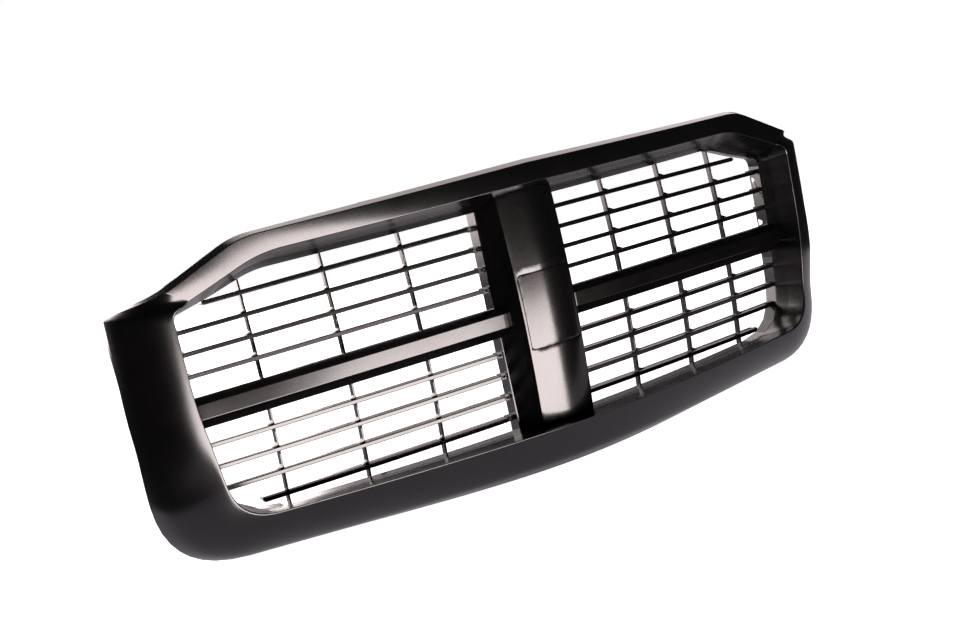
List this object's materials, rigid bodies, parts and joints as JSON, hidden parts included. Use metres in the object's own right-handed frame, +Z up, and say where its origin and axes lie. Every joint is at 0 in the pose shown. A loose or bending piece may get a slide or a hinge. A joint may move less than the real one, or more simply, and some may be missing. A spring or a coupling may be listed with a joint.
{
  "type": "front grille",
  "caption": "Wide bowed front grille with a deep surround, centre post, crossbars and slatted quarter inserts on a rear carrier.",
  "frame": {"origin": "root of the centre locating pin, on the rear face of the carrier, on the centreline level with the crossbars", "axes": "+X to the right seen from the front, +Y to the back along the pin, +Z up"},
  "size_m": [1.0636, 0.1798, 0.4005],
  "materials": {
    "moulded_face": "black moulded plastic, satin to semi-gloss",
    "moulded_lattice": "black moulded plastic, semi-gloss",
    "moulded_carrier": "black moulded plastic, matt",
    "coated_steel": "pressed sheet with black coating",
    "zinc_steel": "zinc plated, dull",
    "seal_rubber": "black extruded foam rubber"
  },
  "bodies": {
    "root": {"surround": "moulded_face", "centre_post": "moulded_face", "emblem_plate": "moulded_face", "crossbar_left": "moulded_face", "crossbar_right": "moulded_face", "insert_upper_left": "moulded_lattice", "insert_upper_right": "moulded_lattice", "insert_lower_left": "moulded_lattice", "insert_lower_right": "moulded_lattice", "carrier": "moulded_carrier", "top_seal": "seal_rubber", "emblem_push_nuts": "zinc_steel", "upper_bracket_left": "coated_steel", "upper_bracket_right": "coated_steel", "lower_bracket_left": "coated_steel", "lower_bracket_right": "coated_steel", "ear_bracket_left": "coated_steel", "ear_bracket_right": "coated_steel", "surround_screws": "zinc_steel", "insert_screws": "zinc_steel", "crossbar_screws": "zinc_steel", "post_screws": "zinc_steel", "bracket_screws": "zinc_steel"}
  },
  "joints": []
}
